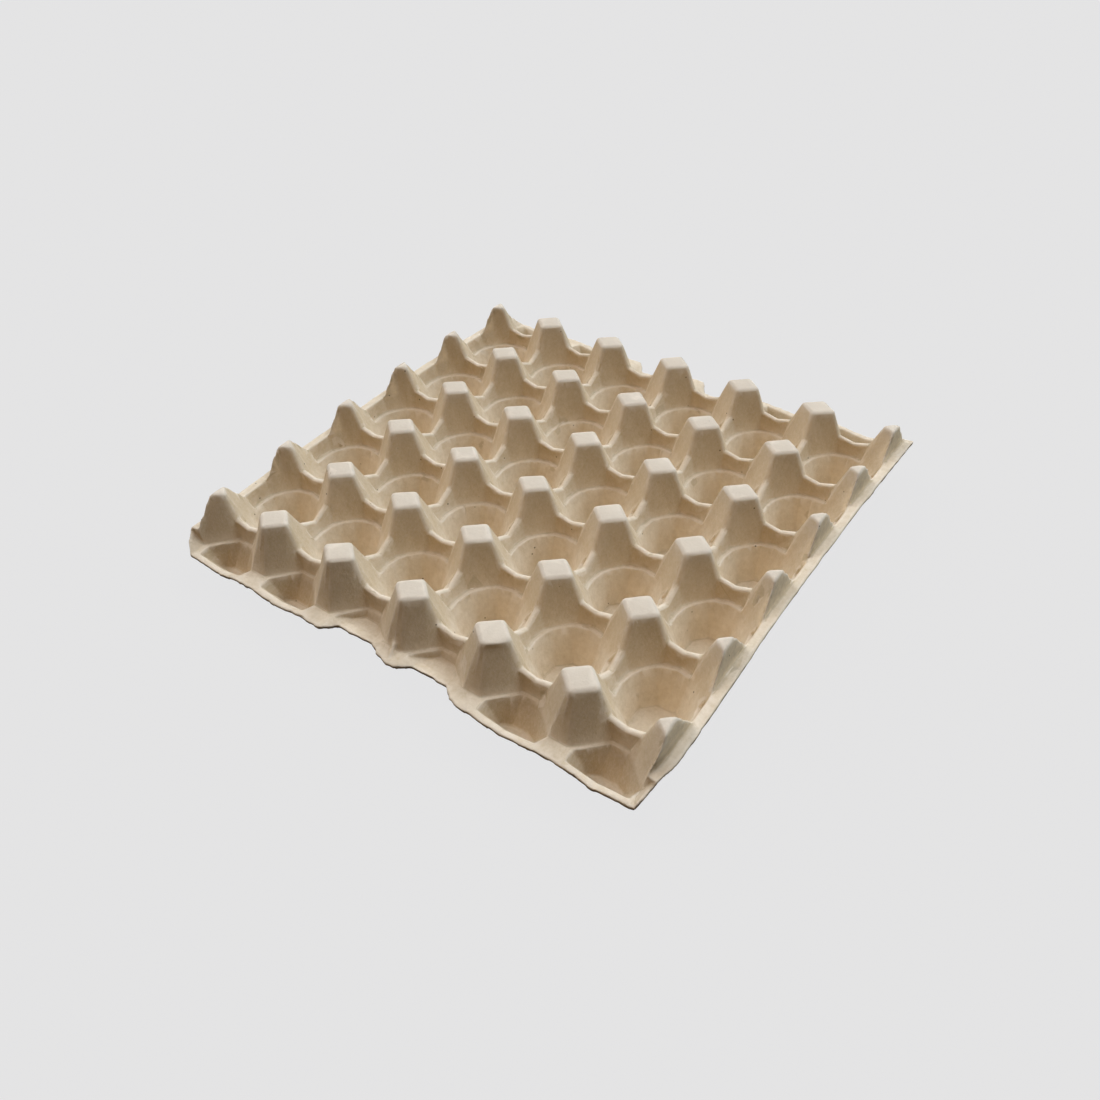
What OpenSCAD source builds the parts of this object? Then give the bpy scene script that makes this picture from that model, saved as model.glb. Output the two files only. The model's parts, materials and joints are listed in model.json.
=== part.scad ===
// Moulded pulp tray for eggs: a grid of eight-sided cups between tall hollow posts, pressed as one sheet.
// Two sides end in a flat flange that cuts the posts in half, the other two in a low rim with half pockets.

/* [Grid] */
// Cups along X
cups_x = 6; // [2:1:7]
// Cups along Y
cups_y = 5; // [2:1:6]
// Distance between cup centres along X
pitch_x = 47.5; // [46.5:0.5:54]
// Distance between cup centres along Y
pitch_y = 49; // [47:0.5:54]
// Thickness of the pulp
wall = 2; // [1.4:0.1:2.4]

/* [Heights] */
// Overall height, from the foot of the cups to the post tops
tray_h = 45; // [42:1:54]
// Height of the ring ledge in the cups, of the platforms and of the rim
ring_z = 20; // [17:0.5:22]
// Height of the side flanges
flange_z = 29.5; // [27:0.5:32]
// Height at mid-span of the bars that run along X
bar_x_z = 28.2; // [26:0.2:29]
// Height at mid-span of the bars that run along Y
bar_y_z = 25.6; // [25:0.2:29]
// Height at which the ridge of a post meets a bar
ridge_z = 30.5; // [29.5:0.5:34]

/* [Cups] */
// Half length of the ring ledge along X
ring_x = 19.2; // [17.6:0.2:20.2]
// Half length of the ring ledge along Y
ring_y = 21; // [19:0.2:21.4]
// Width of the ring ledge under the post faces that have one
ledge_w = 1.2; // [0.6:0.1:2]
// Width of the ring ledge beside the bars
bar_ledge_w = 2.4; // [1.2:0.1:2.6]
// Distance from the middle of a cup to the flats of its eight-sided floor
floor_r = 11; // [8:0.5:13]

/* [Posts] */
// Half diagonal of a post top along X
top_x = 9.7; // [9:0.1:11]
// Half diagonal of a post top along Y
top_y = 8.6; // [8:0.1:10]
// Depth of the soft edge round a post top
soft_h = 1; // [0.5:0.1:1.6]
// Width of the soft edge round a post top
soft_w = 1.6; // [1:0.1:2.4]
// Width of the bars and of the ridges on the post corners
ridge_w = 3.2; // [2.4:0.1:4]
// How far the edges of bars and ridges lie back from their crest
ridge_round = 0.7; // [0.3:0.1:1.2]
// Distance from a post axis to the foot of its ridges
ridge_run = 15; // [13:0.5:17]

/* [Side flanges] */
// Distance from the outer post axes in to the cut face of the half posts
side_cut = 3; // [2:0.25:3.5]
// Distance from the outer post axes in to the flange
flange_in = 2; // [1.5:0.25:2.5]
// Distance from the outer post axes out to the edge of the flange
flange_out = 3; // [2:0.5:8]
// Half width of a half post at its top
side_top = 5.5; // [4.5:0.25:6]
// Half width of a half post at the flange
side_foot = 16.5; // [15.5:0.5:17.5]

/* [Rim and half pockets] */
// Distance from the outer post rows to the edge of the rim
rim_out = 26; // [25:0.5:34]
// Width of the rim in front of a half pocket
rim_w = 2.8; // [2.4:0.2:4]
// Distance from the outer post rows to the platforms
platform_in = 17; // [16:0.5:18]
// Half width of the foot of a post on its platform
foot_hw = 5; // [4:0.25:6]
// Half width of a half pocket at the rim
pocket_hw = 16; // [15:0.25:17]
// Half width of the back wall of a half pocket
back_hw = 4.5; // [3.5:0.25:6]
// Distance from the outer post rows to the back wall of a half pocket
back_in = 3.2; // [2.8:0.2:4]
// Height of the floor of a half pocket
pocket_floor_z = 6; // [4:0.5:8]
// Half width of the floor of a half pocket
pocket_floor_hw = 9; // [7:0.5:11]
// Distance from the outer post rows to the back of the floor of a half pocket
pocket_floor_in = 12.5; // [11:0.5:14]
// Distance from the inner edge of the rim in to the front of that floor
pocket_front = 6.7; // [5.7:0.2:7.7]
// How far the rim sinks in front of a half pocket
lip_drop = 2.4; // [0:0.2:3.6]
// Distance from the outer post rows to the edge of a notch in the rim
notch_out = 18.5; // [17.5:0.5:21]
// Height of the edge of a notch
notch_z = 18; // [17:0.5:19]
// Half width of a notch at its edge
notch_hw = 10.5; // [9:0.5:12]
// Height of the shelf behind a notch
shelf_z = 16; // [14:0.5:16.5]
// Distance from the outer post rows to the back of that shelf
shelf_in = 6.8; // [6:0.2:8]
// Distance from the edge of a notch in to the front of its shelf
shelf_front = 4.5; // [3:0.5:6]
// Length of a rounded corner of the tray along the rim
corner_x = 8; // [6:0.5:9]
// Bulge of a rounded corner beyond the straight line across it
corner_bulge = 1.2; // [0.6:0.1:2]

/* [Hidden] */
pulp = "#CBB792";
// Half a cell, from the middle of a cup to the post axes
a = pitch_x / 2;
b = pitch_y / 2;
ridge_hw = ridge_w / 2;
bar_more = bar_ledge_w - ledge_w;
shoulder_z = tray_h - soft_h;
flat_edge = 22.5;
// Places on the lower face, behind the upper face by about one wall along the slope
groove_drop = 1.8 * wall;
steep_in = 0.8 * wall;
foot_in = 0.7 * wall;
wedge_in = 2.85 * wall;
corner_in = 1.5 * wall;
back_out = 0.3 * wall;
ring_out = 0.6 * wall;
ring_drop = 0.8 * wall;
cavity_z = tray_h - wall;
cavity_x = top_x - steep_in;
cavity_y = top_y - steep_in;
cavity_cut = side_cut + wall;
cavity_cut_y = cavity_y * (1 - cavity_cut / cavity_x);
rim_in = rim_out - rim_w;
floor_front = rim_in - pocket_front;
// Points closer than this count as one
grain = 0.0005;

// Faces as lists of triangles, turned so that their front looks up or out of the pulp

function snap(v) = round(v / grain) * grain;
function drop(points, depth) = [for (p = points) p - [0, 0, depth]];
function flip(faces) = [for (f = faces) [f[0], f[2], f[1]]];
function polar(r, angle, z) = [r * cos(angle), r * sin(angle), z];
function heading(p) = atan2(p.y, p.x);

// Points of an oval about the middle of a cup, in the headings of other points
function oval(rx, ry, points, z) = [for (p = points) let (t = heading(p))
    polar(1 / norm([cos(t) / rx, sin(t) / ry]), t, z)];

// A band between two rows of points, the first on the outer or lower side
function band(p, q) = [for (k = [0:len(p) - 2]) each concat(
    q[k] == q[k + 1] ? [] : [[p[k], q[k], q[k + 1]]],
    p[k] == p[k + 1] ? [] : [[p[k], q[k + 1], p[k + 1]]])];

// A flat or nearly flat patch whose points run anticlockwise seen from its front
function patch(points) = [for (k = [1:len(points) - 2]) [points[0], points[k + 1], points[k]]];

// Moves faces to a cell or post, mirrored into one of its four quarters
function put(faces, x, y, sx, sy) = let (
    moved = [for (f = faces) [for (p = f) [snap(x + sx * p.x), snap(y + sy * p.y), snap(p.z)]]]
) sx * sy > 0 ? moved : flip(moved);

// Crests and edges of bars and ridges, in one quarter of a cup

crest_x = [[a, 0, bar_y_z], [a, b - ridge_run, ridge_z], [a, b - top_y, shoulder_z]];
crest_y = [[a - top_x, b, shoulder_z], [a - ridge_run, b, ridge_z], [0, b, bar_x_z]];
brow_x = [
    [a - ridge_hw, 0, bar_y_z - ridge_round],
    [a - ridge_hw, b - ridge_run, ridge_z - ridge_round],
    [a - ridge_hw, b - top_y + ridge_round, shoulder_z]
];
brow_y = [
    [a - top_x + ridge_round, b - ridge_hw, shoulder_z],
    [a - ridge_run, b - ridge_hw, ridge_z - ridge_round],
    [0, b - ridge_hw, bar_x_z - ridge_round]
];
groove_x = [
    [a, 0, bar_y_z - groove_drop],
    [a, b - ridge_run + foot_in, ridge_z - wall],
    [a, b - cavity_y, cavity_z]
];
groove_y = [
    [a - cavity_x, b, cavity_z],
    [a - ridge_run + foot_in, b, ridge_z - wall],
    [0, b, bar_x_z - groove_drop]
];

// Edge of a cup along a side flange, with the half post beside it

brow_side = [
    [a - flange_in, 0, flange_z],
    [a - flange_in, b - side_foot, flange_z],
    [a - side_cut, b - side_top, shoulder_z]
];
groove_side = [
    [a - flange_in + wall, 0, flange_z - wall],
    [a - flange_in + wall, b - side_foot, flange_z - wall],
    [a - flange_in - wall, b - side_foot + wedge_in, flange_z - wall],
    [a - cavity_cut, b - cavity_cut_y, cavity_z]
];

// Edge of a cup's floor from the X axis to the Y axis, one point below each point of the ring above it
function floor_below(ring, r, z) = let (
    corner = r / cos(flat_edge),
    last = len(ring) - 1
) [for (k = [0:last]) k == 0 ? [r, 0, z] : k == last ? [0, r, z]
    : polar(corner, heading(ring[k]) < 45 ? flat_edge : 90 - flat_edge, z)];

// Quarter of a cup's floor
function floor_quarter(r, z) = let (corner = r / cos(flat_edge)) patch([
    [0, 0, z], [r, 0, z], polar(corner, flat_edge, z), polar(corner, 90 - flat_edge, z), [0, r, z]
]);

// Outer edge of a ring ledge, wider beside the bars than under the post face between them
function ring_line(points, bar_more, face_more, z) = let (last = len(points) - 1)
    [for (k = [0:last]) let (more = k < 2 || k > last - 2 ? bar_more : face_more)
        oval(ring_x + more, ring_y + more, [points[k]], z)[0]];

// Upper face of one quarter of a cup, with or without a ledge under its post face
function cup_top(side, ledged) = let (
    brow = concat(side ? brow_side : brow_x, brow_y),
    ring = ring_line(brow, bar_more, 0, ring_z),
    ledge = oval(ring_x - ledge_w, ring_y - ledge_w, brow, ring_z),
    floor_edge = floor_below(ledge, floor_r, wall)
) concat(
    side ? [] : band(crest_x, brow_x),
    band(crest_y, brow_y),
    ledged ? band(brow, ring) : band(
        [brow[0], brow[1], brow[1], brow[2], brow[3], brow[4], brow[4], brow[5]],
        [ring[0], ring[1], ledge[1], ledge[2], ledge[3], ledge[4], ring[4], ring[5]]),
    ledged ? band(ring, ledge) : concat(
        band([ring[0], ring[1]], [ledge[0], ledge[1]]),
        band([ring[4], ring[5]], [ledge[4], ledge[5]])),
    band(ledge, floor_edge),
    floor_quarter(floor_r, wall)
);

// Lower face of one quarter of a cup, with or without a ledge above it
function cup_under(side, ledged) = let (
    groove = concat(side ? groove_side : groove_x, groove_y),
    face_more = ledged ? ring_out : ring_out - ledge_w,
    ring = ring_line(groove, bar_more + ring_out, face_more, ring_z - ring_drop),
    floor_edge = floor_below(ring, floor_r + foot_in, 0)
) flip(concat(
    band(groove, ring),
    band(ring, floor_edge),
    floor_quarter(floor_r + foot_in, 0)
));

// Flange and cut face of the half post along one quarter of a cup at the side
function flange() = let (
    inner = [brow_side[0], brow_side[1], [a - flange_in, b, flange_z]],
    outer = [for (p = inner) [a + flange_out, p.y, flange_z]],
    under_edge = drop([outer[0], outer[1], outer[1], outer[2]], wall),
    under = [groove_side[0], groove_side[1], groove_side[2], [a - flange_in - wall, b, flange_z - wall]],
    face_top = [brow_side[2], [a - side_cut, b, shoulder_z]],
    cavity_top = [groove_side[3], [a - cavity_cut, b, cavity_z]]
) concat(
    band(outer, inner),
    band([inner[1], inner[2]], face_top),
    band(drop(outer, wall), outer),
    flip(band(under_edge, under)),
    flip(band([under[2], under[3]], cavity_top))
);

// Quarter of a whole post's top, about the post axis
function post_cap() = let (
    edge_x = [top_x, 0, shoulder_z],
    near_x = [top_x - ridge_round, ridge_hw, shoulder_z],
    near_y = [ridge_hw, top_y - ridge_round, shoulder_z],
    edge_y = [0, top_y, shoulder_z],
    flat_x = [top_x - soft_w, 0, tray_h],
    flat_y = [0, top_y - soft_w, tray_h]
) concat(
    band([edge_x, near_x, near_y, edge_y], [flat_x, flat_x, flat_y, flat_y]),
    patch([[0, 0, tray_h], flat_x, flat_y]),
    flip(patch([[0, 0, cavity_z], [cavity_x, 0, cavity_z], [0, cavity_y, cavity_z]]))
);

// Quarter of a half post's top, about the post axis, with the cut face at side_cut
function half_cap() = let (
    edge_x = [top_x, 0, shoulder_z],
    near_x = [top_x - ridge_round, ridge_hw, shoulder_z],
    near_cut = [side_cut, side_top, shoulder_z],
    mid_cut = [side_cut, 0, shoulder_z],
    flat_x = [top_x - soft_w, 0, tray_h],
    flat_cut = [side_cut + soft_w, side_top - soft_w, tray_h],
    flat_mid = [side_cut + soft_w, 0, tray_h]
) concat(
    band([edge_x, near_x, near_cut, mid_cut], [flat_x, flat_x, flat_cut, flat_mid]),
    patch([flat_mid, flat_x, flat_cut]),
    flip(patch([[cavity_cut, 0, cavity_z], [cavity_x, 0, cavity_z], [cavity_cut, cavity_cut_y, cavity_z]]))
);

// Half pockets along the rim: X from the middle of the pocket, Y outwards from the outer post row

// Mirrors points of a cup's upper quarter across the post row into the pocket
function over(points) = [for (k = [len(points) - 1:-1:0]) [points[k].x, b - points[k].y, points[k].z]];
function mix(p, q, t) = p + (q - p) * t;
// Share of the slanting wall that lies under the post's inner ridge
slant_part = 0.35;

pocket_crest = over(crest_y);
pocket_brow = over(brow_y);
pocket_groove = over(groove_y);

// Foot of the walls round a half pocket, from its back to the corner of the platform
function pocket_line(hw, back, corner_x, corner_y, z) = let (
    start = [hw, back, z],
    end = [corner_x, corner_y, z]
) [[0, back, z], start, mix(start, end, slant_part), end];

// Floor of a half pocket, with the corner of its slanting wall met by two stations above it
function pocket_floor(notched, grow, drop_z) = let (
    inner = notched ? shelf_in : pocket_floor_in,
    outer = notched ? notch_out - shelf_front : floor_front,
    z = (notched ? shelf_z : pocket_floor_z) - drop_z,
    hw = pocket_floor_hw + grow,
    back = [back_hw, inner - grow, z],
    side = [hw, (inner + outer) / 2, z],
    front = [hw, outer + grow, z]
) [[0, inner - grow, z], back, back, side, front, [0, outer + grow, z]];

// Edge of a notch in the rim, from its corner to its middle
notch_edge = [[notch_hw, notch_out, notch_z], [0, notch_out, notch_z]];

// Outer edge of the rim, from the post axis or the flange to the middle of the pocket
function rim_edge(side, notched) = let (
    near = [pocket_hw, rim_out, ring_z],
    middle = [0, rim_out, ring_z - lip_drop],
    flange_tip = [a + flange_out, side_foot, flange_z],
    rim_tip = [a + flange_out - corner_x, rim_out, ring_z],
    bulge = polar(corner_bulge, 45, 0)
) side
    ? [flange_tip, mix(flange_tip, rim_tip, 0.5) + bulge, rim_tip, near, middle]
    : concat([[a, rim_out, ring_z], near], notched ? notch_edge : [middle]);

// Upper face of half of a half pocket, to the post axis or to the flange, with or without a ledge
function pocket_top(side, notched, ledged) = let (
    shoulder = side ? [a - side_cut, side_top, shoulder_z] : [a - ridge_hw, top_y - ridge_round, shoulder_z],
    foot = pocket_line(back_hw, back_in, a - foot_hw, platform_in, ring_z),
    edge = pocket_line(back_hw, back_in + ledge_w, pocket_hw, platform_in, ring_z),
    line = ledged ? edge : [edge[0], edge[1], foot[2], foot[3]],
    brow = concat(pocket_brow, [shoulder]),
    lip = notched ? notch_edge : [[pocket_hw, rim_in, ring_z], [0, rim_in, ring_z - lip_drop]],
    floor_edge = pocket_floor(notched, 0, 0),
    rim = rim_edge(side, notched),
    hip = [a - flange_in, side_foot, flange_z],
    toe = [a, platform_in, ring_z]
) concat(
    band(pocket_crest, pocket_brow),
    ledged ? band(brow, foot)
        : band([brow[0], brow[1], brow[1], brow[2], brow[3]], [foot[0], foot[1], edge[1], foot[2], foot[3]]),
    ledged ? band(foot, line) : band([foot[0], foot[1]], [edge[0], edge[1]]),
    band(concat(line, lip), floor_edge),
    patch([floor_edge[5], floor_edge[0], floor_edge[1], floor_edge[3], floor_edge[4]]),
    side
        ? concat(patch([shoulder, hip, foot[3]]),
            patch(concat([foot[3], hip, rim[0], rim[1], rim[2], rim[3], lip[0]], ledged ? [line[3]] : [])),
            patch([lip[1], lip[0], rim[3], rim[4]]))
        : patch([shoulder, [a, top_y, shoulder_z], toe, foot[3]]),
    side ? [] : notched
        ? concat(patch(concat([rim[1]], ledged ? [line[3]] : [], [foot[3], toe, rim[0]])),
            patch([lip[0], line[3], rim[1]]))
        : concat(patch(concat([lip[0]], ledged ? [line[3]] : [], [foot[3], toe, rim[0], rim[1]])),
            patch([lip[1], lip[0], rim[1], rim[2]])),
    band(drop(rim, wall), rim)
);

// Lower face of half of a half pocket
function pocket_under(side, notched, ledged) = let (
    z = ring_z - wall,
    shoulder = side ? [a - cavity_cut, cavity_cut_y, cavity_z] : [a, cavity_y, cavity_z],
    side_x = pocket_hw + foot_in,
    line_x = ledged ? side_x : a - foot_hw + foot_in,
    line = pocket_line(back_hw + back_out, back_in - ring_out, line_x, platform_in - corner_in, z),
    lip = notched ? drop(notch_edge, wall)
        : [[side_x, rim_in + steep_in, z], [0, rim_in + steep_in, z - lip_drop]],
    floor_edge = pocket_floor(notched, foot_in, wall),
    rim = drop(rim_edge(side, notched), wall),
    hip = [a - flange_in - wall, side_foot - wedge_in, flange_z - wall],
    toe = [a, platform_in - wall, z]
) flip(concat(
    band(concat(pocket_groove, [shoulder]), line),
    band(concat(line, lip), floor_edge),
    patch([floor_edge[5], floor_edge[0], floor_edge[1], floor_edge[3], floor_edge[4]]),
    side
        ? concat(patch([shoulder, hip, line[3]]),
            patch([line[3], hip, rim[0], rim[1], rim[2], lip[0]]),
            patch([lip[0], rim[2], rim[3]]),
            patch([lip[1], lip[0], rim[3], rim[4]]))
        : patch([shoulder, toe, line[3]]),
    side ? [] : notched
        ? concat(patch([line[3], toe, rim[0], rim[1]]), patch([lip[0], line[3], rim[1]]))
        : concat(patch([lip[0], line[3], toe, rim[0], rim[1]]), patch([lip[1], lip[0], rim[1], rim[2]]))
));

// Flange and cut face of a corner half post, beyond the outer post row
function flange_end() = let (
    inner = [[a - flange_in, 0, flange_z], [a - flange_in, side_foot, flange_z]],
    outer = [for (p = inner) [a + flange_out, p.y, flange_z]],
    under = [
        [a - flange_in - wall, 0, flange_z - wall],
        [a - flange_in - wall, side_foot - wedge_in, flange_z - wall]
    ]
) concat(
    band(outer, inner),
    band(inner, [[a - side_cut, 0, shoulder_z], [a - side_cut, side_top, shoulder_z]]),
    band(drop(outer, wall), outer),
    flip(band(drop(outer, wall), under)),
    flip(band(under, [[a - cavity_cut, 0, cavity_z], [a - cavity_cut, cavity_cut_y, cavity_z]]))
);

// The whole sheet, quarter by quarter

signs = [-1, 1];
function cup_x(i) = (i - (cups_x - 1) / 2) * pitch_x;
function cup_y(j) = (j - (cups_y - 1) / 2) * pitch_y;
function at_side(i, sx) = (i == 0 && sx < 0) || (i == cups_x - 1 && sx > 0);
// Notches lie at the one or two pockets in the middle of a rim
function at_notch(i) = cups_x > 2 && abs(cup_x(i)) < pitch_x;

module tray() {
    last_row = cups_y * b;
    last_column = cups_x * a;
    cups = [for (i = [0:cups_x - 1], j = [0:cups_y - 1], sx = signs, sy = signs)
        let (side = at_side(i, sx), ledged = sx * sy < 0,
            sheet = concat(cup_top(side, ledged), cup_under(side, ledged)))
        each put(concat(sheet, side ? flange() : []), cup_x(i), cup_y(j), sx, sy)];
    pockets = [for (i = [0:cups_x - 1], sx = signs, sy = signs)
        let (side = at_side(i, sx), notched = at_notch(i), ledged = sx * sy > 0,
            sheet = concat(pocket_top(side, notched, ledged), pocket_under(side, notched, ledged)))
        each put(concat(sheet, side ? flange_end() : []), cup_x(i), sy * last_row, sx, sy)];
    whole_caps = [for (i = [1:cups_x - 1], j = [0:cups_y], sx = signs, sy = signs)
        each put(post_cap(), i * pitch_x - last_column, j * pitch_y - last_row, sx, sy)];
    half_caps = [for (j = [0:cups_y], sx = signs, sy = signs)
        each put(half_cap(), -sx * last_column, j * pitch_y - last_row, sx, sy)];
    faces = concat(cups, pockets, whole_caps, half_caps);
    color(pulp)
    polyhedron([for (f = faces) each f], [for (k = [0:len(faces) - 1]) [3 * k, 3 * k + 1, 3 * k + 2]]);
}

tray();
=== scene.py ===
"""A moulded pulp egg tray: one sheet of dried pulp with cups, hollow posts, side flanges and notched rims."""
import json
import math

import bmesh
import bpy
from mathutils import Matrix, Vector, kdtree, noise

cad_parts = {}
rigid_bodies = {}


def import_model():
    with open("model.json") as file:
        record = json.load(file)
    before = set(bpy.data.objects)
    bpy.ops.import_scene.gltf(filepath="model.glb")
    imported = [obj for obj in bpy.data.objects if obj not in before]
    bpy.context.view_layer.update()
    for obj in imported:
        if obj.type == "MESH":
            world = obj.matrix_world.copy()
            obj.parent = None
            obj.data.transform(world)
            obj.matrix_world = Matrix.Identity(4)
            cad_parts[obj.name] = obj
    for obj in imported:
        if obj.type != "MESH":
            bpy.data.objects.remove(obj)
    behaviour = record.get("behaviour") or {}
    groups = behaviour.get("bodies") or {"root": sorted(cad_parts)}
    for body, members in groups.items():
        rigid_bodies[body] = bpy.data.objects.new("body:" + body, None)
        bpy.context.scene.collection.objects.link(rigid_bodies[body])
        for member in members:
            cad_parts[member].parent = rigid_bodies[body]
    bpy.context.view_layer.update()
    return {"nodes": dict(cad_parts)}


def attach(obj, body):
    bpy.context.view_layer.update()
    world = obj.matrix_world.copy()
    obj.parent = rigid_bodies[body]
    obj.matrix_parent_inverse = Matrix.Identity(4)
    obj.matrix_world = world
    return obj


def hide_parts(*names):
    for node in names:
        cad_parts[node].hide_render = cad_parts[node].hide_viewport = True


MM = 0.001

# The frame, in an empty scene
for leftover in list(bpy.data.objects):
    bpy.data.objects.remove(leftover)
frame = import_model()

# Height of the tray and distances of its outer posts from the middle, in millimetres
TRAY_H, POSTS_X, POSTS_Y = 45, 142.5, 122.5
# Where the half posts stand clear of the flanges
HALF_POST_X, HALF_POST_Z = 134 * MM, 33 * MM
# Where the finer cells of the rim begin, and where its cut edge lies
RIM_X, RIM_Y = 137 * MM, 131 * MM
CUT_X, CUT_Y = 144 * MM, 140 * MM
# Faces and points whose normals rise or fall by less than this stand upright
UPRIGHT = 0.1

# The sheet's cells before it dries: how near points are merged, the longest edges, and how often they halve
MERGED = 0.01 * MM
CELL, RIM_CELL, FOLD_CELL = 6 * MM, 2 * MM, 1 * MM
HALVINGS = 5
# How near a fold the cells are finest, in millimetres
FOLD_REACH = 9

# Seed of the waviness, so that the sheet dries the same way each time
DRYING_SEED = 5
# Waves of the whole sheet and lumps of its upper face, in millimetres: the height and the length of each
WAVE, WAVE_LENGTH = 0.45, 34
LUMP, LUMP_LENGTH = 0.16, 11
# The feet stay level: the waves lift nothing up to the first height, and grow over the second, in millimetres
FOOT_H, FOOT_FADE = 1, 8
# Curl of the long sides at mid length, in millimetres: more on the right and at the back, less at their ends
CURL, RIGHT_CURL, BACK_CURL, END_CURL = 4.3, 1.5, 1.7, 4.2
# Tilt of the corners, down on the right and up on the left, drop of the back and rise of all, in millimetres
CORNER_TILT, BACK_DROP, RISE = 1.2, 0.3, 0.3
# Share of the way to the outer posts, in front and behind, past which the bow no longer changes
BOW_END = 1.05
# Lean of the post tops, in millimetres: how it grows towards the front, how far all lean back, and which way
FRONT_LEAN, BACK_LEAN = 0.8, 0.3
LEAN_X, LEAN_Y = 0.81, 0.58
# Spread of the sides, in millimetres: on the left, on the right, and how much more towards the right's back
LEFT_SPREAD, RIGHT_SPREAD, BACK_SPREAD = 1.9, 0.4, 0.9
# Sag of the rim, in millimetres: at its middle, how much more on the left, and over what length that changes
SAG, LEFT_SAG, SAG_LENGTH = 0.6, 0.5, 60
SAG_REACH = 9 * MM
# Fraying of the cut edge, in millimetres: how far it swells, and the size and length of its tears and waves
SWELL = 0.5
LONG_TEAR, LONG_TEAR_LENGTH = 0.9, 11
SHORT_TEAR, SHORT_TEAR_LENGTH = 0.7, 4
EDGE_WAVE, EDGE_WAVE_LENGTH = 0.6, 9
FRAY_REACH = 2.5 * MM
LEAST_FRAY = 0.01
# Share of the rim's fraying that the straighter side flanges have
SIDE_FRAY = 0.3
# Shifts that keep the lumps and the waves of the edge apart from the other patterns
LUMP_SHIFT, EDGE_WAVE_SHIFT = Vector((7, 3, 5)), Vector((0, 0, 9))

# The finished mesh, how it is smoothed, and how often the half posts' thin edges are smoothed after that
VOXEL = 0.6 * MM
TRIANGLES = 190000
SMOOTHING, PASSES, HALF_POST_PASSES = 0.5, 2, 2
# How far the colour of the cut edge reaches, a stain with painted shade, and how it fades on faces that look
# up
CUT_REACH = 1.3 * MM
CUT_SIDE, CUT_FADE = 1.2, 1.5


def linear(hex_colour):
    """A linear RGBA colour from an sRGB hex value."""
    channels = [int(hex_colour[k:k + 2], 16) / 255 for k in (1, 3, 5)]
    return tuple(c / 12.92 if c <= 0.04045 else ((c + 0.055) / 1.055) ** 2.4 for c in channels) + (1.0,)


def add_node(tree, kind, output, settings=None, **inputs):
    """Adds a shader node and returns the link (node, output).

    Settings are the node's own properties. Inputs are values or links, by the socket's name or, where a node
    has several of that name, as _ and the socket's number.
    """
    node = tree.nodes.new(kind)
    for name, value in (settings or {}).items():
        setattr(node, name, value)
    for name, value in inputs.items():
        socket = node.inputs[int(name[1:])] if name[1:].isdigit() else node.inputs[name.replace("_", " ")]
        if isinstance(value, tuple) and isinstance(value[0], bpy.types.Node):
            tree.links.new(value[0].outputs[value[1]], socket)
        else:
            socket.default_value = value
    return node, output


def new_material(name):
    """An empty material and its node tree."""
    material = bpy.data.materials.new(name)
    material.use_nodes = True
    material.node_tree.nodes.clear()
    return material, material.node_tree


def to_mesh(bm, name):
    """A mesh from a bmesh, which is freed."""
    mesh = bpy.data.meshes.new(name)
    bm.to_mesh(mesh)
    bm.free()
    return mesh


def with_modifier(mesh, kind, **settings):
    """A mesh with one modifier applied."""
    holder = bpy.data.objects.new("holder", mesh)
    bpy.context.collection.objects.link(holder)
    modifier = holder.modifiers.new(kind.lower(), kind)
    for name, value in settings.items():
        setattr(modifier, name, value)
    result = bpy.data.meshes.new_from_object(holder.evaluated_get(bpy.context.evaluated_depsgraph_get()))
    bpy.data.objects.remove(holder)
    return result


# Torn folds of the skin, in millimetres: the middle, the direction, the half length and width, the height
FOLDS = [
    (Vector((1.0, -140.3, 21)), Vector((-0.17, 0.9, 0.4)).normalized(), 4.5, 1.4, 2.6),
    (Vector((52.3, -127.8, 44)), Vector((0.8, 0.6, 0)).normalized(), 4.0, 1.2, 1.0),
]
# Worn corners of the rim, in millimetres: the corner, how far round it the wear reaches, how the corner moves
WORN_CORNERS = [
    (Vector((-7.75, -148.5, 20)), 7, Vector((2.6, 3.4, -0.5))),
    (Vector((7.75, -148.5, 20)), 5, Vector((-0.8, 1.0, 0))),
    (Vector((39.75, -148.5, 20)), 5, Vector((1.2, 1.6, 0))),
    (Vector((144.5, -140, 28)), 9, Vector((-3.4, 2.2, -2.5))),
    (Vector((137.5, -148.5, 19)), 4, Vector((1.6, -0.1, -0.3))),
]


def too_long(edge):
    """True for an upper edge longer than the cells of its place, which are finer at the rim and the folds."""
    if all(f.normal.z < -UPRIGHT for f in edge.link_faces):
        return False
    middle = (edge.verts[0].co + edge.verts[1].co) / 2
    if any((middle / MM - fold[0]).length < FOLD_REACH for fold in FOLDS):
        return edge.calc_length() > FOLD_CELL
    at_rim = abs(middle.x) > RIM_X or abs(middle.y) > RIM_Y
    return edge.calc_length() > (RIM_CELL if at_rim else CELL)


def in_small_cells(node):
    """A merged copy of the solid in triangles, small enough on its upper side for it to bend and swell."""
    bm = bmesh.new()
    bm.from_mesh(node.data)
    bmesh.ops.remove_doubles(bm, verts=bm.verts, dist=MERGED)
    for halving in range(HALVINGS):
        bmesh.ops.subdivide_edges(bm, edges=[e for e in bm.edges if too_long(e)], cuts=1)
        bmesh.ops.triangulate(bm, faces=[f for f in bm.faces if len(f.verts) > 3])
    return bm


def cut_edge(bm):
    """The points on the cut outer edge, each with its outward direction."""
    outward = {}
    for face in bm.faces:
        outside = all(abs(v.co.x) > CUT_X or abs(v.co.y) > CUT_Y for v in face.verts)
        if outside and abs(face.normal.z) < UPRIGHT:
            for vert in face.verts:
                outward[vert] = outward.get(vert, Vector()) + face.normal
    return {vert: direction.normalized() for vert, direction in outward.items()}


def search_tree(points):
    """A tree that finds the nearest of some points."""
    tree = kdtree.KDTree(len(points))
    for index, point in enumerate(points):
        tree.insert(point, index)
    tree.balance()
    return tree


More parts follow.
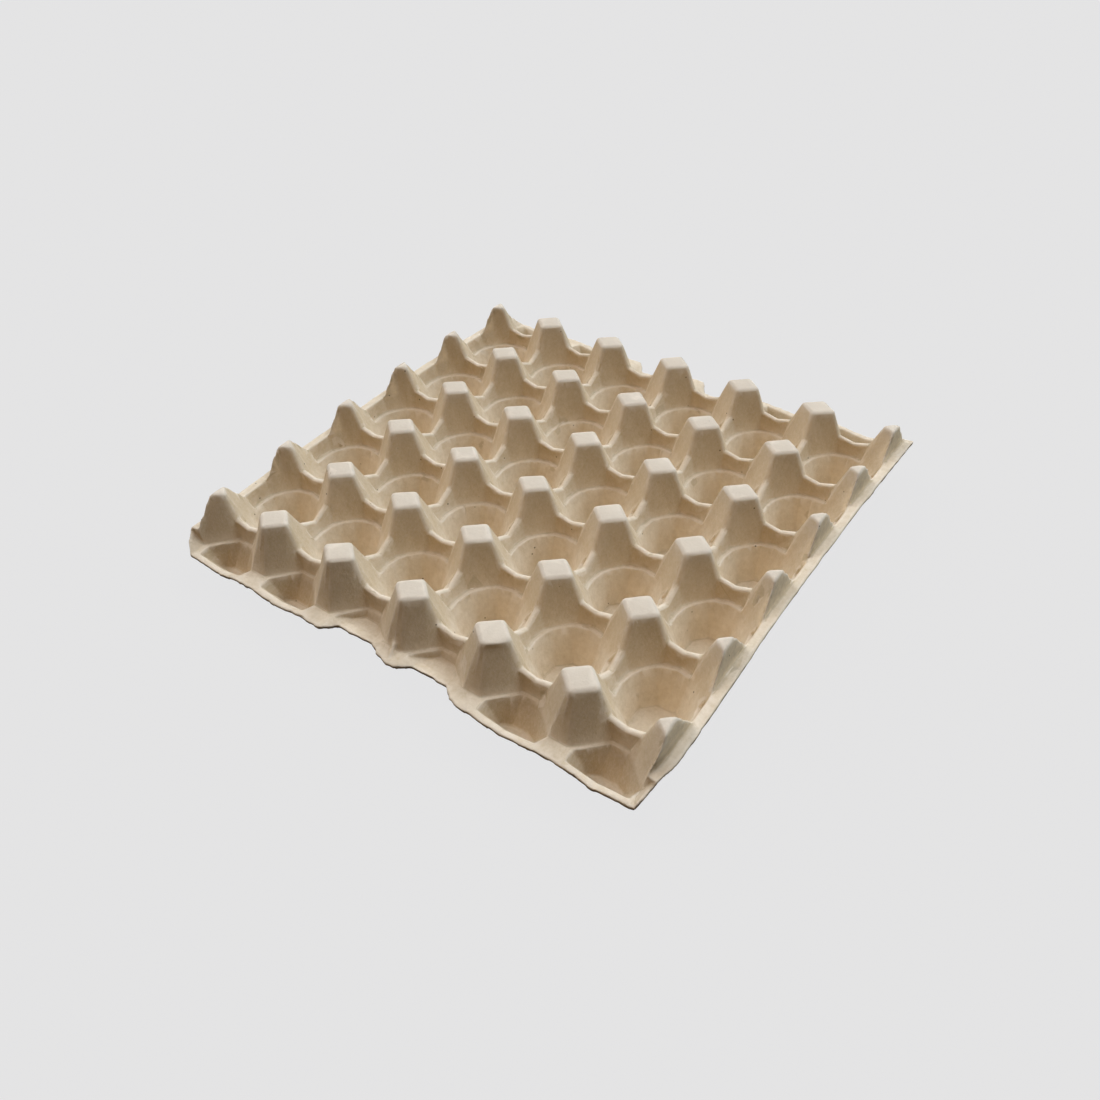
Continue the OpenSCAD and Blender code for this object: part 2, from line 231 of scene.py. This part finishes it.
def bow(place):
    """How far a point moves, in millimetres, as the long sides curl up and spread and the front row leans.

    From side to side u, and from front to back v, are -1 and 1 at the outer posts.
    """
    u, v = place.x / POSTS_X, max(-BOW_END, min(BOW_END, place.y / POSTS_Y))
    curl = u * u * (CURL + RIGHT_CURL * u + BACK_CURL * v - END_CURL * v * v)
    curl = curl - CORNER_TILT * u * v * v - BACK_DROP * v + RISE
    lean = (FRONT_LEAN * v * v - FRONT_LEAN * v - BACK_LEAN) * place.z / TRAY_H
    # The spread grows from nothing, three quarters of the way to the outer posts, to its full size at them
    far_right, far_left = max(0.0, 4 * u - 3), max(0.0, -4 * u - 3)
    spread = far_right * (BACK_SPREAD * v + RIGHT_SPREAD) - LEFT_SPREAD * far_left
    return Vector((LEAN_X * lean + spread, LEAN_Y * lean, curl))


def dry(bm):
    """Warps the sheet, swells its faces unevenly and frays its cut edge, as drying does.

    Returns a search tree of the cut edge, where it has moved to.
    """
    noise.seed_set(DRYING_SEED)
    bm.normal_update()
    edge = cut_edge(bm)
    edge_tree, outward = search_tree([v.co for v in edge]), list(edge.values())
    moves = []
    for vert in bm.verts:
        place = vert.co / MM
        lift = min(1.0, max(0.0, place.z - FOOT_H) / FOOT_FADE)
        wave = noise.noise_vector(place / WAVE_LENGTH)
        move = Vector((wave.x, wave.y, wave.z * lift)) * WAVE + bow(place)
        if vert.normal.z > -UPRIGHT:
            move += vert.normal * LUMP * noise.noise(place / LUMP_LENGTH + LUMP_SHIFT)
        for corner, reach, pull in WORN_CORNERS:
            move += pull * math.exp(-((place - corner).length / reach) ** 2)
        for middle, line, half_length, half_width, height in FOLDS:
            along = (place - middle).dot(line)
            across = (place - middle - line * along).length
            move += vert.normal * height * math.exp(-(along / half_length) ** 2 - (across / half_width) ** 2)
        near, index, distance = edge_tree.find(vert.co)
        sag = SAG - LEFT_SAG * math.tanh(place.x / SAG_LENGTH)
        move.z -= sag * math.exp(-(distance / SAG_REACH) ** 2)
        fray = math.exp(-(distance / FRAY_REACH) ** 2)
        if fray > LEAST_FRAY:
            fray *= 1.0 if abs(near.y) > CUT_Y else SIDE_FRAY
            beside = Vector((near.x / MM, near.y / MM, 0))
            long_tear = LONG_TEAR * noise.noise(beside / LONG_TEAR_LENGTH)
            short_tear = SHORT_TEAR * noise.noise(beside / SHORT_TEAR_LENGTH)
            move += outward[index] * fray * (long_tear + short_tear + SWELL)
            move.z += fray * EDGE_WAVE * noise.noise(beside / EDGE_WAVE_LENGTH + EDGE_WAVE_SHIFT)
        moves.append(move * MM)
    for vert, move in zip(bm.verts, moves):
        vert.co += move
    return search_tree([v.co for v in edge])


def settle(bm):
    """Rounds the half posts' thin edges, and leaves no foot below the floor."""
    half_posts = [v for v in bm.verts if abs(v.co.x) > HALF_POST_X and v.co.z > HALF_POST_Z]
    for smoothing in range(HALF_POST_PASSES):
        bmesh.ops.smooth_vert(
            bm, verts=half_posts, factor=SMOOTHING, use_axis_x=True, use_axis_y=True, use_axis_z=True)
    for vert in bm.verts:
        vert.co.z = max(0.0, vert.co.z)
    bm.normal_update()


def mark_turns_and_cut(bm, edge_tree):
    """Writes how sharply the sheet turns at each point, below zero in creases, and where it is cut: these
    place the painted shade in creases and at the cut, and the partly painted highlight on ridges.
    """
    turn, cut = (bm.verts.layers.float.new(name) for name in ("turn", "cut"))
    for vert in bm.verts:
        vert[turn] = max((e.calc_face_angle_signed(0) for e in vert.link_edges), key=abs)
        from_edge = edge_tree.find(vert.co)[2]
        sideways = max(0.0, min(1.0, CUT_SIDE - CUT_FADE * vert.normal.z))
        vert[cut] = math.exp(-(from_edge / CUT_REACH) ** 2) * sideways


# The tray, as one mesh: a voxel face has four corners, so it counts as two of the wanted triangles
cells = in_small_cells(frame["nodes"]["tray"])
edge_tree = dry(cells)
mesh = with_modifier(
    to_mesh(cells, "dried_sheet"), "REMESH", mode="VOXEL", voxel_size=VOXEL, adaptivity=0.0)
mesh = with_modifier(mesh, "SMOOTH", factor=SMOOTHING, iterations=PASSES)
mesh = with_modifier(
    mesh, "DECIMATE", decimate_type="COLLAPSE", ratio=TRIANGLES / (2 * len(mesh.polygons)))
sheet = bmesh.new()
sheet.from_mesh(mesh)
settle(sheet)
mark_turns_and_cut(sheet, edge_tree)
sheet.to_mesh(mesh)
sheet.free()
mesh.polygons.foreach_set("use_smooth", [True] * len(mesh.polygons))
tray = bpy.data.objects.new("pulp_tray", mesh)
bpy.context.collection.objects.link(tray)
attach(tray, "root")
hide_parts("tray")


def moulded_pulp():
    """Grey-brown paper pulp, sucked onto a wire mould and dried.

    To the eye it is quite matt, cloudy and mottled, with short fibres, pale where it is rubbed, and with a
    few dark specks of ink and bark. Painted light and shade lie in its colour too: browner post walls and
    half pockets, paler cups and outer faces of the half posts, shade in the creases and at the cut edge,
    which is also stained, and highlights on the ridges. The real fibres are finer than the render can show,
    so they are drawn 0.9 mm apart.
    """
    material, tree = new_material("moulded_pulp")
    multiply, absolute = {"operation": "MULTIPLY"}, {"operation": "ABSOLUTE"}
    place = add_node(tree, "ShaderNodeTexCoord", "Object")
    height = add_node(tree, "ShaderNodeSeparateXYZ", "Z", Vector=place)
    facing = add_node(tree, "ShaderNodeSeparateXYZ", "Z", Vector=(place[0], "Normal"))
    from_middle_x = add_node(tree, "ShaderNodeMath", "Value", absolute, _0=(height[0], "X"))
    from_middle_y = add_node(tree, "ShaderNodeMath", "Value", absolute, _0=(height[0], "Y"))
    facing_sideways = add_node(tree, "ShaderNodeMath", "Value", absolute, _0=(facing[0], "X"))

    # Clouds of lighter and darker pulp, over painted light and shade: painted shade makes the walls of the
    # posts browner, and painted light makes the cup walls a little paler than the flats.
    # In a mix of colours, socket 0 is the share of the second, 6 and 7 are the two, and output 2 is the mix.
    colours = {"data_type": "RGBA"}
    cloud = add_node(tree, "ShaderNodeTexNoise", "Fac", Vector=place, Scale=1 / (28 * MM), Detail=3)
    cloud = add_node(tree, "ShaderNodeMapRange", "Result", Value=cloud, From_Min=0.3, From_Max=0.7)
    shaded_post_wall, lit_cup_wall, flat = (
        add_node(tree, "ShaderNodeMix", 2, colours, _0=cloud, _6=linear(darker), _7=linear(lighter))
        for darker, lighter in (("#C6B18E", "#CEBA9A"), ("#D3C2A5", "#DACAAF"), ("#CFBEA2", "#D6C6AC")))
    raised = add_node(tree, "ShaderNodeMapRange", "Result", Value=height, From_Min=18 * MM, From_Max=26 * MM)
    wall = add_node(tree, "ShaderNodeMix", 2, colours, _0=raised, _6=lit_cup_wall, _7=shaded_post_wall)
    level = add_node(tree, "ShaderNodeMapRange", "Result", Value=facing, From_Min=0.4, From_Max=0.85)
    colour = add_node(tree, "ShaderNodeMix", 2, colours, _0=level, _6=wall, _7=flat)

    # Painted shade on the walls of the half pockets, beyond the outer post rows and below the platforms
    beyond = add_node(tree, "ShaderNodeMapRange", "Result", Value=from_middle_y,
                      From_Min=(POSTS_Y - 1.5) * MM, From_Max=(POSTS_Y + 1.5) * MM)
    sunk = add_node(tree, "ShaderNodeMapRange", "Result", Value=height, From_Min=20 * MM, From_Max=17 * MM)
    steep = add_node(tree, "ShaderNodeMapRange", "Result", Value=facing,
                     From_Min=0.75, From_Max=0.5, To_Max=0.6)
    pocket_shade = add_node(tree, "ShaderNodeMath", "Value", multiply, _0=beyond, _1=sunk)
    pocket_shade = add_node(tree, "ShaderNodeMath", "Value", multiply, _0=pocket_shade, _1=steep)

    # Painted light on the outer faces of the half posts, above the flanges
    outer = add_node(tree, "ShaderNodeMapRange", "Result", Value=from_middle_x,
                     From_Min=HALF_POST_X, From_Max=138 * MM)
    clear = add_node(tree, "ShaderNodeMapRange", "Result", Value=height,
                     From_Min=30 * MM, From_Max=HALF_POST_Z)
    turned = add_node(tree, "ShaderNodeMapRange", "Result", Value=facing_sideways,
                      From_Min=0.65, From_Max=0.85, To_Max=0.9)
    outer_face_light = add_node(tree, "ShaderNodeMath", "Value", multiply, _0=outer, _1=clear)
    outer_face_light = add_node(tree, "ShaderNodeMath", "Value", multiply, _0=outer_face_light, _1=turned)

    # Mottle of the wire mould, and fibres that mostly lie one way
    mottle = add_node(tree, "ShaderNodeTexNoise", "Fac", Vector=place,
                      Scale=1 / (3.2 * MM), Detail=3, Roughness=0.6)
    mottle = add_node(tree, "ShaderNodeMapRange", "Result", Value=mottle,
                      From_Min=0.3, From_Max=0.7, To_Max=0.45)
    lying = add_node(tree, "ShaderNodeMapping", "Vector", Vector=place,
                     Scale=(1.0, 0.35, 0.6), Rotation=(0.3, 0.5, 0.7))
    fibre_pattern = add_node(tree, "ShaderNodeTexNoise", "Fac", Vector=lying,
                             Scale=1 / (0.9 * MM), Detail=2, Roughness=0.6, Distortion=0.6)
    fibre_pattern = add_node(tree, "ShaderNodeMapRange", "Result", Value=fibre_pattern,
                             From_Min=0.3, From_Max=0.7)
    fibre = add_node(tree, "ShaderNodeMapRange", "Result", Value=fibre_pattern, To_Max=0.28)

    # Greyer tops of the posts, where they face up
    high = add_node(tree, "ShaderNodeMapRange", "Result", Value=height,
                    From_Min=(TRAY_H - 5) * MM, From_Max=(TRAY_H - 1) * MM)
    upward = add_node(tree, "ShaderNodeMapRange", "Result", Value=facing,
                      From_Min=0.2, From_Max=0.8, To_Max=0.85)
    top_tint = add_node(tree, "ShaderNodeMath", "Value", multiply, _0=high, _1=upward)

    # Ridges paler in patches: partly rubbed fibres, partly a painted highlight where light catches their
    # rounded edges
    turn = add_node(tree, "ShaderNodeAttribute", "Fac", {"attribute_name": "turn"})
    ridge_rub_and_highlight = add_node(tree, "ShaderNodeMapRange", "Result", Value=turn, From_Min=0.14, From_Max=0.35)
    rub_and_highlight_patches = add_node(tree, "ShaderNodeTexNoise", "Fac", Vector=place, Scale=1 / (6 * MM), Detail=2)
    rub_and_highlight_patches = add_node(tree, "ShaderNodeMapRange", "Result", Value=rub_and_highlight_patches,
                      From_Min=0.35, From_Max=0.6, To_Min=0.15, To_Max=0.5)
    ridge_rub_and_highlight = add_node(tree, "ShaderNodeMath", "Value", multiply, _0=ridge_rub_and_highlight, _1=rub_and_highlight_patches)

    # Painted shade in the creases, and the cut edge, in patches too
    crease_shade = add_node(tree, "ShaderNodeMapRange", "Result", Value=turn,
                      From_Min=-0.25, From_Max=-0.5, To_Max=0.3)
    # The cut edge's colour: partly darker torn fibres, partly painted shade on faces that look sideways or
    # down
    cut = add_node(tree, "ShaderNodeAttribute", "Fac", {"attribute_name": "cut"})
    cut = add_node(tree, "ShaderNodeMapRange", "Result", Value=cut, From_Min=0.2, From_Max=0.8)
    stain_and_shade_patches = add_node(tree, "ShaderNodeTexNoise", "Fac", Vector=place, Scale=1 / (7 * MM), Detail=2)
    stain_and_shade_patches = add_node(tree, "ShaderNodeMapRange", "Result", Value=stain_and_shade_patches,
                       From_Min=0.35, From_Max=0.6, To_Min=0.3, To_Max=0.9)
    cut = add_node(tree, "ShaderNodeMath", "Value", multiply, _0=cut, _1=stain_and_shade_patches)

    # Specks, in about one cell of eight of a 5 mm pattern
    bits = add_node(tree, "ShaderNodeTexVoronoi", "Distance", Vector=place, Scale=1 / (5 * MM))
    speck = add_node(tree, "ShaderNodeMapRange", "Result", Value=bits, From_Min=0.11, From_Max=0.07)
    chance = add_node(tree, "ShaderNodeSeparateColor", "Red", Color=(bits[0], "Color"))
    chance = add_node(tree, "ShaderNodeMapRange", "Result", Value=chance,
                      From_Min=0.86, From_Max=0.9, To_Max=0.8)
    speck = add_node(tree, "ShaderNodeMath", "Value", multiply, _0=speck, _1=chance)

    # The colour of each of these, one over the other
    for share, tint in ((pocket_shade, "#A08862"), (outer_face_light, "#F0DBB4"), (mottle, "#B8A27D"), (fibre, "#DDCEB7"),
                        (top_tint, "#C6B9A5"), (ridge_rub_and_highlight, "#E0D2BC"), (crease_shade, "#94805C"), (cut, "#76634A"),
                        (speck, "#4E4232")):
        colour = add_node(tree, "ShaderNodeMix", 2, colours, _0=share, _6=colour, _7=linear(tint))

    # Lumps and fibres that catch the light
    lumps = add_node(tree, "ShaderNodeTexNoise", "Fac", Vector=place,
                     Scale=1 / (2.2 * MM), Detail=3, Roughness=0.55)
    bump = add_node(tree, "ShaderNodeBump", "Normal", Height=lumps, Strength=0.5, Distance=0.3 * MM)
    bump = add_node(tree, "ShaderNodeBump", "Normal", Height=fibre_pattern, Strength=0.35, Distance=0.1 * MM,
                    Normal=bump)
    shader = add_node(tree, "ShaderNodeBsdfPrincipled", "BSDF", Base_Color=colour, Roughness=0.95,
                      Specular_IOR_Level=0.05, Normal=bump)
    add_node(tree, "ShaderNodeOutputMaterial", None, Surface=shader)
    return material


tray.data.materials.append(moulded_pulp())

# Floor, light and camera
FLOOR_HALF = 6
FLOOR_GLOW = 0.88


def backdrop_seen(tree, most):
    """How much of the plain backdrop a ray sees: most for camera, glossy and see-through rays, else none."""
    highest = {"operation": "MAXIMUM"}
    rays = add_node(tree, "ShaderNodeLightPath", "Is Camera Ray")
    seen = add_node(tree, "ShaderNodeMath", "Value", highest, _0=rays, _1=(rays[0], "Is Glossy Ray"))
    seen = add_node(tree, "ShaderNodeMath", "Value", highest, _0=seen, _1=(rays[0], "Is Transmission Ray"))
    return add_node(tree, "ShaderNodeMath", "Value", {"operation": "MULTIPLY"}, _0=seen, _1=most)


def pale_floor():
    """Smooth matt card: the camera sees its even pale tone, and the tray only the dull light it sends up."""
    material, tree = new_material("pale_floor")
    shade = add_node(tree, "ShaderNodeBsdfDiffuse", "BSDF", Color=linear("#5E5648"))
    glow = add_node(tree, "ShaderNodeEmission", "Emission", Color=linear("#EFEFF0"), Strength=1.0)
    seen = backdrop_seen(tree, FLOOR_GLOW)
    paint = add_node(tree, "ShaderNodeMixShader", "Shader", Fac=seen, _1=shade, _2=glow)
    add_node(tree, "ShaderNodeOutputMaterial", None, Surface=paint)
    return material


grid = bmesh.new()
bmesh.ops.create_grid(grid, x_segments=1, y_segments=1, size=FLOOR_HALF)
floor = bpy.data.objects.new("floor", to_mesh(grid, "floor"))
bpy.context.collection.objects.link(floor)
floor.data.materials.append(pale_floor())

DAYLIGHT, ROOM_LIGHT = "#E2EEFF", "#FFC478"
# How wide each lamp looks from the tray
LAMP_ANGLE = math.radians(28)
# Large far lamps: angle from +X towards +Y and height above the horizon, in degrees, strength and colour
LAMPS = {
    "right_back": (45, 48, 0.53, DAYLIGHT),
    "back": (90, 48, 0.43, DAYLIGHT),
    "back_low": (90, 22, 0.13, DAYLIGHT),
    "left": (180, 48, 0.42, DAYLIGHT),
    "left_low": (180, 22, 0.12, DAYLIGHT),
    "left_top": (202, 70, 0.084, DAYLIGHT),
    "top": (0, 90, 0.18, DAYLIGHT),
    "left_front": (225, 48, 0.125, ROOM_LIGHT),
    "front_top": (292, 70, 0.061, ROOM_LIGHT),
}
for name, (angle, rise, strength, colour) in LAMPS.items():
    lamp = bpy.data.lights.new(name, "SUN")
    lamp.color = linear(colour)[:3]
    lamp.angle = LAMP_ANGLE
    lamp.energy = math.pi * strength
    angle, rise = math.radians(angle), math.radians(rise)
    towards = Vector((math.cos(angle) * math.cos(rise), math.sin(angle) * math.cos(rise), math.sin(rise)))
    lamp_object = bpy.data.objects.new(name, lamp)
    lamp_object.rotation_euler = towards.to_track_quat("Z", "Y").to_euler()
    bpy.context.collection.objects.link(lamp_object)

world = bpy.data.worlds.new("studio")
bpy.context.scene.world = world
world.use_nodes = True
tree = world.node_tree
tree.nodes.clear()
pale = add_node(tree, "ShaderNodeBackground", "Background", Color=linear("#E5E5E5"), Strength=1.0)
dark = add_node(tree, "ShaderNodeBackground", "Background", Color=linear("#FFFFFF"), Strength=0.0)
sky = add_node(tree, "ShaderNodeMixShader", "Shader", Fac=backdrop_seen(tree, 1.0), _1=dark, _2=pale)
add_node(tree, "ShaderNodeOutputWorld", None, Surface=sky)

# The camera of the photo: its square frame and focal length in pixels, its place and how it is turned
FRAME_PX = 1100
FOCAL_PX = 933.35
EYE = Vector((244.0, -332.7, 342.9)) * MM
DOWN, HEADING, ROLL = math.radians(41.35), math.radians(127.41), math.radians(-2.61)
SENSOR_MM = 36
NEAREST = 10 * MM
camera_data = bpy.data.cameras.new("camera")
camera_data.sensor_width = SENSOR_MM
camera_data.lens = SENSOR_MM * FOCAL_PX / FRAME_PX
camera_data.clip_start = NEAREST
camera = bpy.data.objects.new("camera", camera_data)
aim = Matrix.Rotation(HEADING - math.pi / 2, 4, "Z") @ Matrix.Rotation(math.pi / 2 - DOWN, 4, "X")
camera.matrix_world = Matrix.Translation(EYE) @ aim @ Matrix.Rotation(ROLL, 4, "Z")
bpy.context.collection.objects.link(camera)
bpy.context.scene.camera = camera
bpy.context.scene.view_settings.view_transform = "Standard"
